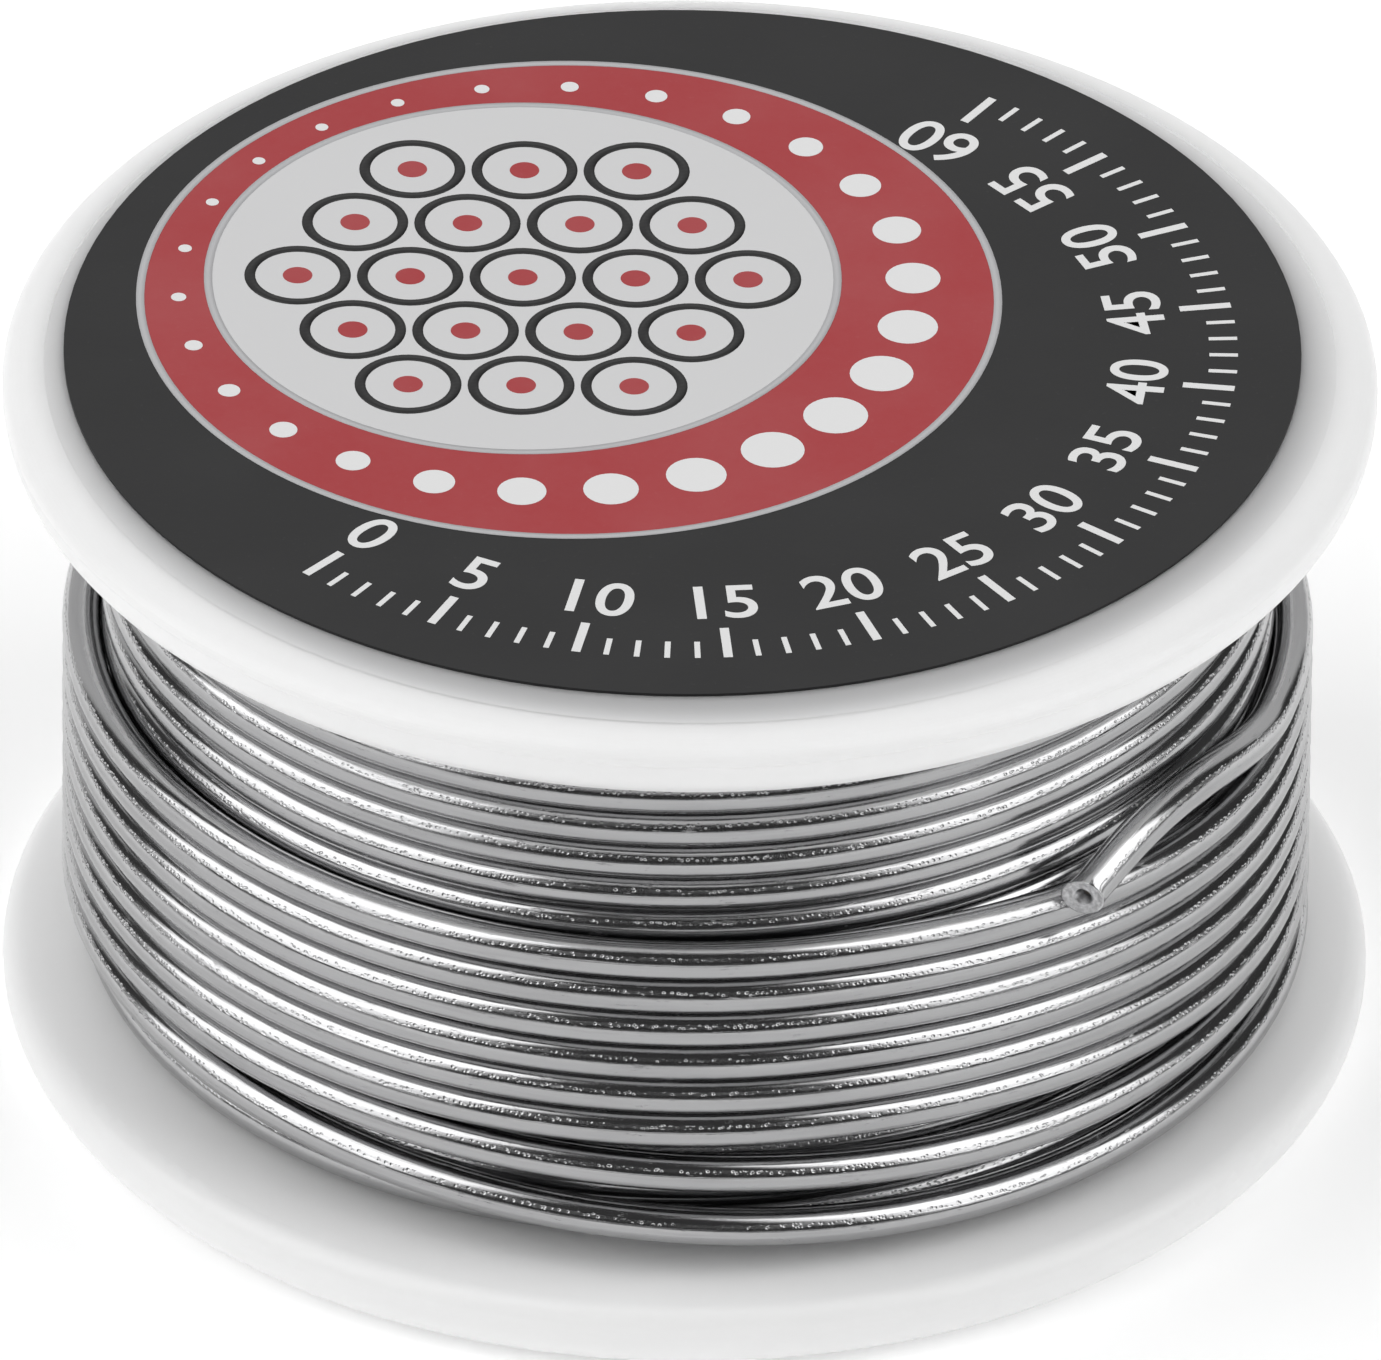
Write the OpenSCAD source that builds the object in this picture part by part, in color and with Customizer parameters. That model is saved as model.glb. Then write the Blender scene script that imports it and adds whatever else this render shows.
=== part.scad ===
// Solder wire on a two-part moulded spool.
// The origin is at the middle of the underside, +Z is the spool's axis, and -Y is the front.

/* [Spool] */
// Diameter over the flange rims
flange_d = 53; // [53:0.5:60]
// Height over both flanges
spool_h = 29.4; // [29.4:0.2:34]
// Thickness of a flange at its rim
flange_t = 3; // [2.9:0.1:3]
// How much thicker a flange is at the drum
flange_draft = 0.9; // [0.4:0.1:0.9]
// Radius that rounds the lower edge of each rim
rim_under_r = 1.9; // [1:0.1:1.9]
// Radius that rounds the upper edge of the lower rim
rim_over_r = 0.9; // [0.4:0.1:1]
// Width of the crown round the labelled face
crown_w = 1.6; // [1.2:0.1:1.6]
// Height of that crown
crown_h = 1; // [0.6:0.1:1]
// Width of the flat land that the spool stands on
rim_land_w = 0.2; // [0.1:0.05:0.4]
// Depth of the shallow seat in the outer face of each flange
seat_depth = 0.15; // [0.1:0.05:0.4]

/* [Hub] */
// Outer diameter of the drum that the wire is wound on
drum_d = 36; // [30:1:38]
// Bore for a dispenser's spindle
bore_d = 10; // [6:0.5:16]
// Wall of the drum and of the sleeve round the bore
hub_wall = 1.6; // [1.4:0.1:2.4]
// Floor that is left under the hub's pockets
pocket_floor_t = 2; // [1.5:0.1:3]
// Ribs between sleeve and drum in each half
rib_count = 6; // [3:1:10]
// Thickness of a rib
rib_t = 1.2; // [0.8:0.1:2]
// Height of the ring by which the lower half enters the upper one
spigot_h = 3; // [2.5:0.1:4]
// Slack round the spigot
spigot_slack = 0.05; // [0.02:0.01:0.1]
// Radius of the snap bead round the spigot
snap_bead_r = 0.3; // [0.25:0.05:0.35]

/* [Label] */
// Diameter of the paper label
label_d = 47.7; // [40:0.1:47.7]
// Thickness of the label
label_t = 0.12; // [0.08:0.01:0.14]
// How far the label is stuck off centre to the left
label_left = 0.3; // [0:0.05:0.4]
// How far it is stuck off centre to the back
label_back = 0.95; // [0:0.05:1]

/* [Wire] */
// Diameter of the solder wire
wire_d = 1.5; // [1:0.1:1.5]
// Diameter over the outermost turns
winding_d = 48.4; // [46:0.2:49]
// Turns in the full layer that shows above the outermost one
full_turns = 13.6; // [13.5:0.1:13.7]
// Turns in the outermost, unfinished layer
outer_turns = 8; // [4:1:8]
// Spacing of the outermost turns
outer_pitch = 1.55; // [1.5:0.01:1.6]
// Free space that is left between drawn turns, which takes that much off the wire
turn_gap = 0.45; // [0.42:0.01:0.6]
// Share of the wire's diameter that is rosin flux
flux_share = 0.38; // [0.3:0.02:0.44]

/* [Hidden] */

mouth_chamfer = 0.5;
lead_in = 0.3;
rib_root = 0.2;
drum_r = drum_d / 2;
bore_r = bore_d / 2;
sleeve_r = bore_r + hub_wall;
flange_r = flange_d / 2;
stand_r = flange_r - rim_under_r;
crest_r = flange_r - crown_w;
split_z = spool_h / 2;
upper_face_z = spool_h - flange_t;
pocket_r = drum_r - hub_wall;
spigot_r = drum_r - hub_wall / 2;
snap_height = spigot_h - 3 * snap_bead_r;
snap_centre_r = spigot_r - snap_bead_r / 2;

// The wire's drawn size and the radii that its two outer layers run at
drawn_d = wire_d - turn_gap;
outer_r = (winding_d - wire_d) / 2;
full_r = outer_r - wire_d;
core_slack = 0.02;
core_r = full_r - drawn_d / 2 - core_slack;

// Heights between which the layers run
top_slack = 0.8;
low_slack = 0.7;
first_rise = 2.15;
full_top_z = upper_face_z - wire_d / 2 - top_slack;
low_z = flange_t + wire_d / 2 + low_slack;
full_pitch = (full_top_z - low_z) / full_turns;
outer_low_z = low_z + first_rise;

// Wound angle, in degrees from the back of the first turn, clockwise seen from above
ring_step = 15;
turn_steps = 360 / ring_step;
full_end = full_turns * 360;
outer_start = ceil(full_turns) * 360;
climb_start = full_end - 36;
climb_span = 248;
tail_lead = 105;
tail_start = outer_start + outer_turns * 360 + tail_lead;

// Azimuths from the front, in degrees, between which an outer turn steps up by a pitch
step_span = [78, 12];
first_step_span = [45, -70];
second_step_span = [65, -40];

// The free end's route as azimuth, radius past the outer layer and height over its last turn
tail_knots = [[75, 0, 0], [66, 0, 0], [54, 0, 3.05], [41.5, 0.9, 0.9]];
tail_rings = 10;
tail_end_l = 1.7;

// The rosin shows in a bore down the cut end
wire_sides = 6;
flux_r = flux_share * drawn_d / 2;
flux_l = 1.2;
flux_sink = 0.1;

// The buried end turns in through a notch in the layers below
bend_r = 1.2;
buried_l = 1.25;
bend_steps = 4;
notch_h = 1.2;

function eased(t) = t < 0 ? 0 : t > 1 ? 1 : t * t * (3 - 2 * t);

// A point at a radius, an azimuth from the front and a height
function around(r, azimuth, z) = [r * sin(azimuth), -r * cos(azimuth), z];

// Azimuth from the front, -180 to 180, at a wound angle
function azimuth_at(wound) = 180 - (wound - 360 * floor(wound / 360));

function step_span_of(turn) =
    turn == 0 ? first_step_span : turn == 1 ? second_step_span : step_span;

function outer_level(turn) = turn < 0 ? low_z : outer_low_z + turn * outer_pitch;

function outer_z(wound) =
    let (turn = floor((wound - outer_start) / 360))
    let (span = step_span_of(turn))
    let (t = (span[0] - azimuth_at(wound)) / (span[0] - span[1]))
    outer_level(turn - 1) + (outer_level(turn) - outer_level(turn - 1)) * eased(t);

function wound_z(wound) =
    wound < full_end ? full_top_z - full_pitch * wound / 360
    : wound < outer_start ? low_z
    : outer_z(wound);

// The wire climbs to the outermost layer just as fast as the turn beside it makes room
function wound_r(wound) =
    let (t = (wound - climb_start) / climb_span)
    t < 0 ? full_r : full_r + (outer_r - full_r) * (t > 1 ? 1 : sin(90 * t));

function bezier(k, t) =
    pow(1 - t, 3) * k[0] + 3 * pow(1 - t, 2) * t * k[1] + 3 * (1 - t) * t * t * k[2] + pow(t, 3) * k[3];

function tail_point(t) =
    let (at = bezier(tail_knots, t))
    around(outer_r + at[1], at[0], outer_level(outer_turns - 1) + at[2]);

buried_end = [
    [-bend_r, full_r - bend_r - buried_l, full_top_z],
    for (i = [0:bend_steps - 1])
        let (a = 90 * i / bend_steps)
        [-bend_r * cos(a), full_r - bend_r + bend_r * sin(a), full_top_z]
];
wound_part = [for (w = [0:ring_step:tail_start]) around(wound_r(w), azimuth_at(w), wound_z(w))];
tail_part = [for (i = [1:tail_rings]) tail_point(i / tail_rings)];
tail_way = unit(tail_part[tail_rings - 1] - tail_part[tail_rings - 2]);
tail_tip = tail_part[tail_rings - 1] + tail_end_l * tail_way;
route = concat(buried_end, wound_part, tail_part, [tail_tip]);

function unit(v) = v / norm(v);

// Least distance between turns, taken over points that lie most of a turn apart
least_gap = min([
    for (i = [0:len(route) - 1])
        for (j = [i + 5 * turn_steps / 6:len(route) - 1])
            norm(route[j] - route[i])
]) - drawn_d;
echo(least_gap_between_turns = least_gap);

// The way that the wire runs at one point of its route
function way_at(i) =
    unit(route[min(i + 1, len(route) - 1)] - route[max(i - 1, 0)]);

// Corners of the wire's section, square to its way
function section(centre, way, r) =
    let (up = unit([0, 0, 1] - way[2] * way))
    let (side = cross(way, up))
    [for (k = [0:wire_sides - 1]) let (a = 360 * k / wire_sides) centre + r * (cos(a) * side + sin(a) * up)];

// One skin over a row of sections, closed at both ends
module tube(rings) {
    last = len(rings) - 1;
    points = [for (ring = rings) each ring];
    walls = [
        for (i = [0:last - 1])
            for (k = [0:wire_sides - 1])
                let (a = i * wire_sides + k, b = i * wire_sides + (k + 1) % wire_sides)
                each [[a, b, b + wire_sides], [a, b + wire_sides, a + wire_sides]]
    ];
    first = last * wire_sides;
    near_cap = [for (k = [1:wire_sides - 2]) [0, k + 1, k]];
    far_cap = [for (k = [1:wire_sides - 2]) [first, first + k, first + k + 1]];
    polyhedron(points, concat(walls, near_cap, far_cap));
}

// The crown's back, from its crest out to the rim. It leaves the crest at a slope, so a crease shows
crown_start = 65;
crown_steps = 13;
crown_back = [
    for (i = [0:crown_steps])
        let (a = crown_start * (1 - i / crown_steps))
        let (across = crown_w * (1 - cos(a)) / (1 - cos(crown_start)))
        [flange_r - across, crown_h * (1 - sin(a) / sin(crown_start))]
];

// Height of a flange's tapered inner face over its outer one
function inner_face(r) =
    flange_t + flange_draft * (flange_r - rim_over_r - r) / (flange_r - rim_over_r - drum_r);

// A quarter of a round, with its centre at the origin
module edge_round(r) {
    intersection() {
        circle(r = r, $fn = 64);
        square(r);
    }
}

// Section of a flange: outer_edge lists its outer face's points from the label's seat to the rim
module flange_section(outer_edge, inner_round_r) {
    translate([flange_r - inner_round_r, flange_t - inner_round_r])
        edge_round(inner_round_r);
    polygon(concat(
        [[bore_r, seat_depth + mouth_chamfer], [bore_r + mouth_chamfer, seat_depth]],
        outer_edge,
        [
            [flange_r, flange_t - inner_round_r],
            [flange_r - inner_round_r, flange_t],
            [drum_r, inner_face(drum_r)],
            [bore_r, inner_face(drum_r)]
        ]
    ));
}

// The lower flange stands on a narrow land inside its rounded lower edge
module lower_flange_section() {
    seat_r = stand_r - rim_land_w;
    stand_edge = [[seat_r - seat_depth, seat_depth], [seat_r, 0], [stand_r, 0], [flange_r, rim_under_r]];
    flange_section(stand_edge, rim_over_r);
    translate([stand_r, rim_under_r])
        mirror([0, 1])
            edge_round(rim_under_r);
}

// The upper flange, upside down: the label's seat lies inside the crown
module upper_flange_section() {
    flange_section(concat([[crest_r, seat_depth]], crown_back), rim_under_r);
}

// Section of the drum's wall or of the sleeve, from inside the flange up to the split
module hub_wall_section(inner_r) {
    from_z = pocket_floor_t / 2;
    translate([inner_r, from_z])
        square([hub_wall, split_z - from_z]);
}

// What both halves share: their part of the drum and of the sleeve, and the ribs. The flange's
// section is the module's child
module hub_half(fused_rib_top) {
    rotate_extrude($fn = 96)
        difference() {
            union() {
                children();
                hub_wall_section(pocket_r);
                hub_wall_section(bore_r);
            }
            translate([sleeve_r, pocket_floor_t])
                square([pocket_r - sleeve_r, spool_h]);
        }
    for (i = [0:rib_count - 1])
        rotate(i * 360 / rib_count)
            hub_rib(fused_rib_top);
}

// A rib stands clear of the drum's wall above the height up to which it is fused to it
module hub_rib(fused_top) {
    from_z = pocket_floor_t - rib_root;
    translate([sleeve_r - rib_root, -rib_t / 2, from_z])
        cube([pocket_r - sleeve_r + 2 * rib_root, rib_t, fused_top - from_z]);
    translate([sleeve_r - rib_root, -rib_t / 2, from_z])
        cube([pocket_r - sleeve_r, rib_t, split_z - from_z]);
}

// Ring on top of the lower drum, with a lead-in and a snap bead
module spigot() {
    from_z = split_z - hub_wall;
    rotate_extrude($fn = 96) {
        polygon([
            [pocket_r, from_z],
            [spigot_r, from_z],
            [spigot_r, split_z + spigot_h - lead_in],
            [spigot_r - lead_in, split_z + spigot_h],
            [pocket_r, split_z + spigot_h]
        ]);
        translate([snap_centre_r, split_z + snap_height])
            circle(r = snap_bead_r, $fn = 32);
    }
}

// Room for the spigot and its bead in the upper drum, in the upper half's upside-down frame
module socket() {
    depth = spigot_h + 2 * spigot_slack;
    rotate_extrude($fn = 96) {
        translate([pocket_r - spigot_slack, split_z - depth])
            square([spigot_r - pocket_r + 2 * spigot_slack, depth + 1]);
        translate([snap_centre_r, split_z - snap_height])
            circle(r = snap_bead_r + spigot_slack, $fn = 32);
    }
}

module lower_half() {
    color("white") {
        hub_half(split_z)
            lower_flange_section();
        spigot();
    }
}

module upper_half() {
    color("whitesmoke")
    translate([0, 0, spool_h])
    mirror([0, 0, 1])
    difference() {
        hub_half(split_z - spigot_h - rib_root)
            upper_flange_section();
        socket();
    }
}

module paper_label() {
    color("dimgray")
    translate([-label_left, label_back, spool_h - seat_depth])
    cylinder(h = label_t, d = label_d, $fn = 96);
}

// The layers under the full one, drawn as one plain sleeve with a notch for the wire's buried end
module inner_windings() {
    color("gray")
    difference() {
        rotate_extrude($fn = 96)
            polygon([
                [drum_r, inner_face(drum_r) + core_slack],
                [core_r, inner_face(core_r) + core_slack],
                [core_r, spool_h - inner_face(core_r) - core_slack],
                [drum_r, spool_h - inner_face(drum_r) - core_slack]
            ]);
        translate([-bend_r - drawn_d, full_r - bend_r - buried_l, full_top_z - notch_h / 2])
            cube([bend_r + 2 * drawn_d, bend_r + buried_l, spool_h]);
    }
}

module solder_wire() {
    outside = [for (i = [0:len(route) - 1]) section(route[i], way_at(i), drawn_d / 2)];
    mouth = section(tail_tip, tail_way, flux_r);
    floor_ring = section(tail_tip - flux_l * tail_way, tail_way, flux_r);
    color("silver")
    tube(concat(outside, [mouth, floor_ring]));
}

module flux_core() {
    across = norm([tail_way[0], tail_way[1]]);
    rod_r = flux_r * cos(180 / wire_sides);
    color("sandybrown")
    translate(tail_tip - flux_l * tail_way)
    rotate([0, atan2(across, tail_way[2]), atan2(tail_way[1], tail_way[0])])
    cylinder(h = flux_l - flux_sink, r = rod_r, $fn = 24);
}

lower_half();
upper_half();
paper_label();
inner_windings();
solder_wire();
flux_core();
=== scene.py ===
"""Solder wire on a two-part moulded spool: the finish of every surface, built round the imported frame."""

import logging
import math
from dataclasses import dataclass, field, replace
from enum import Enum
from typing import Iterator, Sequence

import bmesh
import bpy
from mathutils import Matrix, Vector, noise


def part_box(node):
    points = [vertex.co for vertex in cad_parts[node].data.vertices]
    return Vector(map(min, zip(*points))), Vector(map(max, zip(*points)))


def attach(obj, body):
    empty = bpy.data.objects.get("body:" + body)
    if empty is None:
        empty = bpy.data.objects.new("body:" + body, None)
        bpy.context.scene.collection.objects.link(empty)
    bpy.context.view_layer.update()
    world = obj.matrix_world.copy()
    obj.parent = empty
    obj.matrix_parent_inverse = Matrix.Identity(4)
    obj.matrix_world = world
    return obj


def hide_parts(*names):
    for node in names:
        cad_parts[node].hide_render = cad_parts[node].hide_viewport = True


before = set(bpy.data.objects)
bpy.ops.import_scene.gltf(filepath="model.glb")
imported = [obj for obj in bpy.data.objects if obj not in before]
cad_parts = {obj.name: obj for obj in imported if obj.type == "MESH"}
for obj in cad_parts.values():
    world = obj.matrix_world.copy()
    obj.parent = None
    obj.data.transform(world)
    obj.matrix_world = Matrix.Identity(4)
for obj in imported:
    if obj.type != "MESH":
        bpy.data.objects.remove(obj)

LOG = logging.getLogger("solder_wire_spool")
MM = 0.001
BODY = "root"

Colour = tuple[float, float, float]


def eased(t: float) -> float:
    """Smooth step from 0 to 1, flat at both ends."""
    t = min(1.0, max(0.0, t))
    return t * t * (3 - 2 * t)


def around(r: float, azimuth: float, z: float) -> Vector:
    """Point at a radius, an azimuth in degrees, from the front towards the right, and a height."""
    a = math.radians(azimuth)
    return Vector((r * math.sin(a), -r * math.cos(a), z))


# ---- node trees


@dataclass(frozen=True)
class Signal:
    """A node's output that can take part in arithmetic, which adds Math nodes."""

    graph: "Graph"
    socket: bpy.types.NodeSocket

    def maths(self, operation: str, *others: "Signal | float") -> "Signal":
        """Result of a Math node that takes this signal and the others."""
        sockets = dict(enumerate((self, *others)))
        return self.graph.node("ShaderNodeMath", {"operation": operation}, sockets)

    def __add__(self, other: "Signal | float") -> "Signal":
        """Sum."""
        return self.maths("ADD", other)

    __radd__ = __add__

    def __mul__(self, other: "Signal | float") -> "Signal":
        """Product."""
        return self.maths("MULTIPLY", other)

    __rmul__ = __mul__

    def __sub__(self, other: "Signal | float") -> "Signal":
        """Difference."""
        return self.maths("SUBTRACT", other)

    def __rsub__(self, other: float) -> "Signal":
        """Difference, with the number first."""
        return (self * -1.0) + other

    def ramp(self, low: float, high: float) -> "Signal":
        """Smooth step.

        Args:
            low: Value at which the result is 0.
            high: Value at which the result is 1. It may lie below low.

        Returns:
            The step, 0 to 1.
        """
        flip = high < low
        ends = {"From Min": min(low, high), "From Max": max(low, high)}
        turned = {"To Min": 1.0, "To Max": 0.0} if flip else {}
        settings = {"interpolation_type": "SMOOTHSTEP"}
        return self.graph.node("ShaderNodeMapRange", settings, {"Value": self, **ends, **turned})

    def past(self, edge: float, soft: float) -> "Signal":
        """Smooth step up, from soft under an edge to soft over it. A negative soft steps down."""
        return self.ramp(edge - soft, edge + soft)

    def output(self, name: str) -> "Signal":
        """Another output of the same node."""
        return Signal(self.graph, self.socket.node.outputs[name])


@dataclass(frozen=True)
class Waves:
    """A noise: waves in one unit of length, the number of finer layers and their strength.

    On a wire's skin the scale counts along the wire, and there are waves across it as well.
    """

    scale: float
    detail: float = 3.0
    roughness: float = 0.6
    across: float = 0.0


class Graph:
    """Builds one node tree, whether of a material, of the world or of a modifier."""

    def __init__(self, tree: bpy.types.NodeTree) -> None:
        """Starts from an empty tree."""
        self.tree = tree
        tree.nodes.clear()

    def node(
        self,
        kind: str,
        settings: dict[str, object] | None = None,
        sockets: dict[str | int, object] | None = None,
        output: int | str = 0,
    ) -> Signal:
        """Adds a node.

        Args:
            kind: The node's type.
            settings: Its own properties, which are set first.
            sockets: A value or a signal for each input, by the input's identifier or place.
            output: The output that is wanted, by identifier or place.

        Returns:
            That output.
        """
        node = self.tree.nodes.new(kind)
        for name, value in (settings or {}).items():
            setattr(node, name, value)
        for key, value in (sockets or {}).items():
            target = self._find(node.inputs, key)
            if isinstance(value, Signal):
                self.tree.links.new(value.socket, target)
            else:
                target.default_value = value
        found = self._find(node.outputs, output) if node.outputs else None
        return Signal(self, found)

    @staticmethod
    def _find(sockets: Sequence[bpy.types.NodeSocket], key: int | str) -> bpy.types.NodeSocket:
        """One of a node's inputs or outputs, by its identifier or place."""
        named = (s for s in sockets if s.identifier == key)
        return sockets[key] if isinstance(key, int) else next(named)

    def mixed(self, share: Signal | float, first: object, second: object) -> Signal:
        """Mixes two colours.

        Args:
            share: How much of the second colour shows, 0 to 1.
            first: One colour.
            second: The other.

        Returns:
            The mixed colour.
        """
        colours = [c if isinstance(c, Signal) else (*c, 1.0) for c in (first, second)]
        sockets = {"Factor_Float": share, "A_Color": colours[0], "B_Color": colours[1]}
        return self.node("ShaderNodeMix", {"data_type": "RGBA"}, sockets, "Result_Color")

    def vector(self, x: Signal | float, y: Signal | float, z: Signal | float) -> Signal:
        """Joins three numbers into a vector."""
        return self.node("ShaderNodeCombineXYZ", None, {"X": x, "Y": y, "Z": z})

    def split(self, vector: Signal) -> tuple[Signal, Signal, Signal]:
        """Splits a vector into its three numbers."""
        parts = self.node("ShaderNodeSeparateXYZ", None, {"Vector": vector})
        return parts, parts.output("Y"), parts.output("Z")

    def place(self) -> Signal:
        """Place in the spool's frame, in metres."""
        return self.node("ShaderNodeTexCoord", None, None, "Object")

    def noise(self, at: Signal, waves: Waves) -> Signal:
        """Noise at a place, about 0.5 on average."""
        layers = {"Detail": waves.detail, "Roughness": waves.roughness}
        return self.node("ShaderNodeTexNoise", None, {"Vector": at, "Scale": waves.scale, **layers})

    def cells(self, at: Signal) -> Signal:
        """Distance to the middle of the nearest of many uneven cells, each about one unit wide."""
        return self.node("ShaderNodeTexVoronoi", None, {"Vector": at, "Scale": 1.0})

    def bumped(self, height: Signal, depth: float, strength: float) -> Signal:
        """Normal from a height of about 0 to 1. The depth is what 1 stands for, in metres."""
        sockets = {"Height": height, "Distance": depth, "Strength": strength}
        return self.node("ShaderNodeBump", None, sockets)


def surface(name: str, finish: "Finish") -> bpy.types.Material:
    """Makes a material from a finish.

    Args:
        name: The material's name.
        finish: The finish.

    Returns:
        The material.
    """
    material = bpy.data.materials.new(name)
    material.use_nodes = True
    graph = Graph(material.node_tree)
    shader = graph.node("ShaderNodeBsdfPrincipled", None, finish.sockets(graph))
    graph.node("ShaderNodeOutputMaterial", None, {"Surface": shader})
    return material


# ---- finishes


class Finish:
    """What a surface is made of. A finish gives the values and signals of the shader's sockets."""

    def sockets(self, graph: Graph) -> dict[str, object]:
        """Gives the shader's sockets.

        Args:
            graph: The material's tree.

        Returns:
            A value or a signal for each socket.
        """
        raise NotImplementedError


@dataclass(frozen=True)
class MouldedPlastic(Finish):
    """White moulded polystyrene: a soft gloss, faint flow marks, small rubs and its parting line.

    The crown's inner side, up to the label, is darker than the rest: painted shade.
    """

    colour: Colour = (0.875, 0.875, 0.875)
    shaded: Colour = (0.60, 0.60, 0.605)
    # Painted shade for the crown's inner side next to the label.
    greyer: Colour = (0.46, 0.46, 0.465)
    gloss: float = 0.36
    label_r: float = 23.4 * MM
    slope_r: float = 25.7 * MM
    slope_z: float = 28.6 * MM
    slope_fade: float = 0.3 * MM
    parting_r: float = 26.2 * MM
    parting_z: float = 28.4 * MM
    parting_fade: float = 0.1 * MM
    parting_edge: tuple[float, float] = (0.07 * MM, 0.02 * MM)
    scatter: float = 3.2 * MM
    relief: float = 0.012 * MM
    flow: Waves = Waves(90.0, 3.0, 0.55)
    grain: Waves = Waves(5200.0, 2.0)
    peel: Waves = Waves(1100.0, 2.0, 0.5)
    rubs: Waves = Waves(700.0, 4.0, 0.7)

    def sockets(self, graph: Graph) -> dict[str, object]:
        """Gives the shader's sockets.

        Args:
            graph: The material's tree.

        Returns:
            A value or a signal for each socket.
        """
        at = graph.place()
        x, y, z = graph.split(at)
        radius = (x * x + y * y).maths("SQRT")
        flow, grain, peel = (graph.noise(at, waves) for waves in (self.flow, self.grain, self.peel))
        rubs = graph.noise(at, self.rubs).ramp(0.62, 0.74)
        # Painted shade: the crown's inner side, from the label out, is mixed towards a darker grey.
        on_crown = z.ramp(self.slope_z, self.slope_z + self.slope_fade)
        slope_shade = radius.ramp(self.slope_r, self.label_r) * on_crown
        on_rim = radius.ramp(self.parting_r, self.parting_r + self.parting_fade)
        parting = (z - self.parting_z).maths("ABSOLUTE").ramp(*self.parting_edge) * on_rim
        shade = flow.ramp(0.25, 0.8) * 0.05 + grain * 0.03 + rubs * 0.02
        colour = graph.mixed(shade, self.colour, self.shaded)
        return {
            "Base Color": graph.mixed(slope_shade * 0.9, colour, self.greyer),
            "Roughness": flow * 0.10 + grain * 0.05 + rubs * 0.12 + (self.gloss - 0.07),
            "IOR": 1.5,
            "Subsurface Weight": 0.9,
            "Subsurface Radius": (1.0, 1.0, 1.0),
            "Subsurface Scale": self.scatter,
            "Normal": graph.bumped(peel * 0.8 + grain * 0.2 + parting * 2.5, self.relief, 0.6),
        }


@dataclass(frozen=True)
class PrintedPaper(Finish):
    """Coated paper with a flat print: a faint fibre relief and slightly uneven ink."""

    ink: Colour
    gloss: float = 0.42
    unevenness: float = 0.10
    thinning: float = 0.22
    relief: float = 0.006 * MM
    fibre: Waves = Waves(2600.0)
    cloud: Waves = Waves(160.0, 3.0, 0.5)
    speck: Waves = Waves(5200.0, 1.0, 0.5)

    def sockets(self, graph: Graph) -> dict[str, object]:
        """Gives the shader's sockets.

        Args:
            graph: The material's tree.

        Returns:
            A value or a signal for each socket.
        """
        at = graph.place()
        fibre, cloud = graph.noise(at, self.fibre), graph.noise(at, self.cloud)
        speck = graph.noise(at, self.speck).ramp(0.70, 0.78)
        share = fibre * self.unevenness + cloud.ramp(0.3, 0.75) * self.unevenness + speck * 0.04
        lighter = tuple(c + (1 - c) * self.thinning for c in self.ink)
        return {
            "Base Color": graph.mixed(share, self.ink, lighter),
            "Roughness": fibre * 0.12 + cloud * 0.06 + (self.gloss - 0.09),
            "IOR": 1.46,
            "Normal": graph.bumped(fibre, self.relief, 0.5),
        }


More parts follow.
